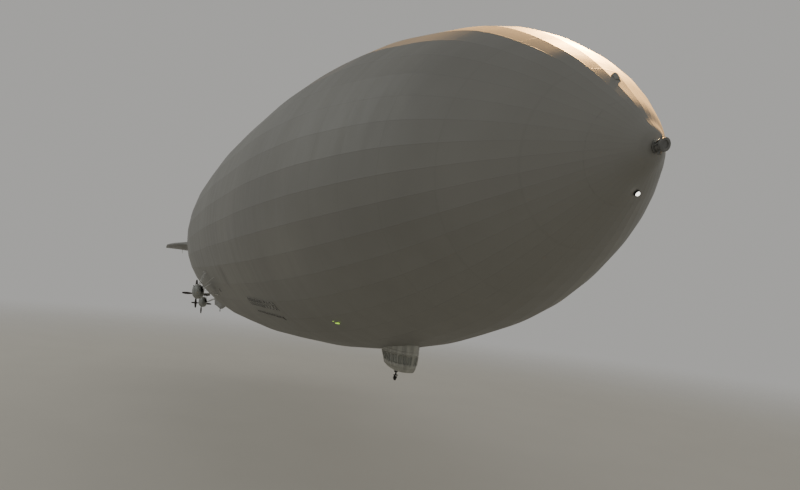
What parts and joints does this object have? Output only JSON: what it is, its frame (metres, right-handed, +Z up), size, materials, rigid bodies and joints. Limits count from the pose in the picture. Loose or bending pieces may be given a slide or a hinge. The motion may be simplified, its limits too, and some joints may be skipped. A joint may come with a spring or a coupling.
{
  "type": "one-tenth scale model of a rigid passenger airship",
  "caption": "Rigid passenger airship at one tenth scale: ribbed cigar hull, control car, outrigged pusher engine cars, cruciform fins with rudders and elevators, castoring wheels.",
  "frame": {"origin": "on the hull's long axis at the centre of its lift, 10.65 m aft of the nose of the hull at model size", "axes": "+X to the bow, +Y to port, +Z up"},
  "size_m": [24.502, 4.58, 4.7263],
  "materials": {
    "hull_fabric": "doped cloth, silver grey, satin",
    "car_metal": "satin grey paint",
    "dark_metal": "dark satin metal",
    "bright_metal": "brushed light alloy",
    "propeller_wood": "dark varnish",
    "fitting_wood": "oiled",
    "tyre": "matt",
    "clear_pane": "clear",
    "lamp_glass": "clear lens",
    "green_glass": "coloured lens",
    "red_glass": "coloured lens"
  },
  "bodies": {
    "ship": {"hull_envelope": "hull_fabric", "bow_cap": "hull_fabric", "tail_cone": "hull_fabric", "mooring_spindle": "dark_metal", "bow_lamp": "lamp_glass", "side_light_starboard": "green_glass", "side_light_port": "red_glass", "control_car_shell": "car_metal", "control_car_glazing": "clear_pane", "control_car_deck": "fitting_wood", "control_car_partition": "fitting_wood", "rudder_wheel_stand": "fitting_wood", "elevator_wheel_stand": "fitting_wood", "chart_table": "fitting_wood", "car_ladder": "bright_metal", "engine_car_forward_starboard": "car_metal", "engine_car_forward_port": "car_metal", "engine_car_aft_starboard": "car_metal", "engine_car_aft_port": "car_metal", "engine_forward_starboard": "dark_metal", "engine_forward_port": "dark_metal", "engine_aft_starboard": "dark_metal", "engine_aft_port": "dark_metal", "engine_mount_forward_starboard": "bright_metal", "engine_mount_forward_port": "bright_metal", "engine_mount_aft_starboard": "bright_metal", "engine_mount_aft_port": "bright_metal", "fin_upper": "hull_fabric", "fin_lower": "hull_fabric", "fin_starboard": "hull_fabric", "fin_port": "hull_fabric", "car_gear_leg": "dark_metal", "tail_gear_leg": "dark_metal"},
    "propeller_forward_starboard": {"propeller_forward_starboard": "propeller_wood"},
    "propeller_forward_port": {"propeller_forward_port": "propeller_wood"},
    "propeller_aft_starboard": {"propeller_aft_starboard": "propeller_wood"},
    "propeller_aft_port": {"propeller_aft_port": "propeller_wood"},
    "rudder_upper": {"rudder_upper": "hull_fabric"},
    "rudder_lower": {"rudder_lower": "hull_fabric"},
    "elevator_starboard": {"elevator_starboard": "hull_fabric"},
    "elevator_port": {"elevator_port": "hull_fabric"},
    "car_castor": {"car_gear_fork": "dark_metal"},
    "car_wheel": {"car_wheel_hub": "dark_metal", "car_tyre": "tyre"},
    "tail_castor": {"tail_gear_fork": "dark_metal"},
    "tail_wheel": {"tail_wheel_hub": "dark_metal", "tail_tyre": "tyre"}
  },
  "joints": [
    {"name": "propeller_forward_starboard_spin", "type": "hinge", "parent": "ship", "child": "propeller_forward_starboard", "pos_m": [0.945, -1.93033, -1.4522], "axis": [1, 0, 0], "continuous": true},
    {"name": "propeller_forward_port_spin", "type": "hinge", "parent": "ship", "child": "propeller_forward_port", "pos_m": [0.945, 1.93033, -1.4522], "axis": [1, 0, 0], "continuous": true},
    {"name": "propeller_aft_starboard_spin", "type": "hinge", "parent": "ship", "child": "propeller_aft_starboard", "pos_m": [-3.855, -1.34905, -1.87319], "axis": [1, 0, 0], "continuous": true},
    {"name": "propeller_aft_port_spin", "type": "hinge", "parent": "ship", "child": "propeller_aft_port", "pos_m": [-3.855, 1.34905, -1.87319], "axis": [1, 0, 0], "continuous": true},
    {"name": "rudder_upper_swing", "type": "hinge", "parent": "ship", "child": "rudder_upper", "pos_m": [-10.65, 0, 1.5], "axis": [0, 0, 1], "range_deg": [-20, 20]},
    {"name": "rudder_lower_swing", "type": "hinge", "parent": "ship", "child": "rudder_lower", "pos_m": [-10.65, 0, -1.5], "axis": [0, 0, 1], "range_deg": [-20, 20]},
    {"name": "elevator_starboard_tilt", "type": "hinge", "parent": "ship", "child": "elevator_starboard", "pos_m": [-10.65, -1.5, 0], "axis": [0, 1, 0], "range_deg": [-20, 20]},
    {"name": "elevator_port_tilt", "type": "hinge", "parent": "ship", "child": "elevator_port", "pos_m": [-10.65, 1.5, 0], "axis": [0, 1, 0], "range_deg": [-20, 20]},
    {"name": "car_castor_swivel", "type": "hinge", "parent": "ship", "child": "car_castor", "pos_m": [7.425, 0, -2.03], "axis": [0, 0, 1], "continuous": true},
    {"name": "car_wheel_spin", "type": "hinge", "parent": "car_castor", "child": "car_wheel", "pos_m": [7.413, 0, -2.058], "axis": [0, 1, 0], "continuous": true},
    {"name": "tail_castor_swivel", "type": "hinge", "parent": "ship", "child": "tail_castor", "pos_m": [-9.85, 0, -2.38], "axis": [0, 0, 1], "continuous": true},
    {"name": "tail_wheel_spin", "type": "hinge", "parent": "tail_castor", "child": "tail_wheel", "pos_m": [-9.862, 0, -2.4063], "axis": [0, 1, 0], "continuous": true}
  ],
  "couplings": [
    {"joint": "rudder_lower_swing", "follows": "rudder_upper_swing", "ratio": 1},
    {"joint": "elevator_port_tilt", "follows": "elevator_starboard_tilt", "ratio": 1}
  ]
}
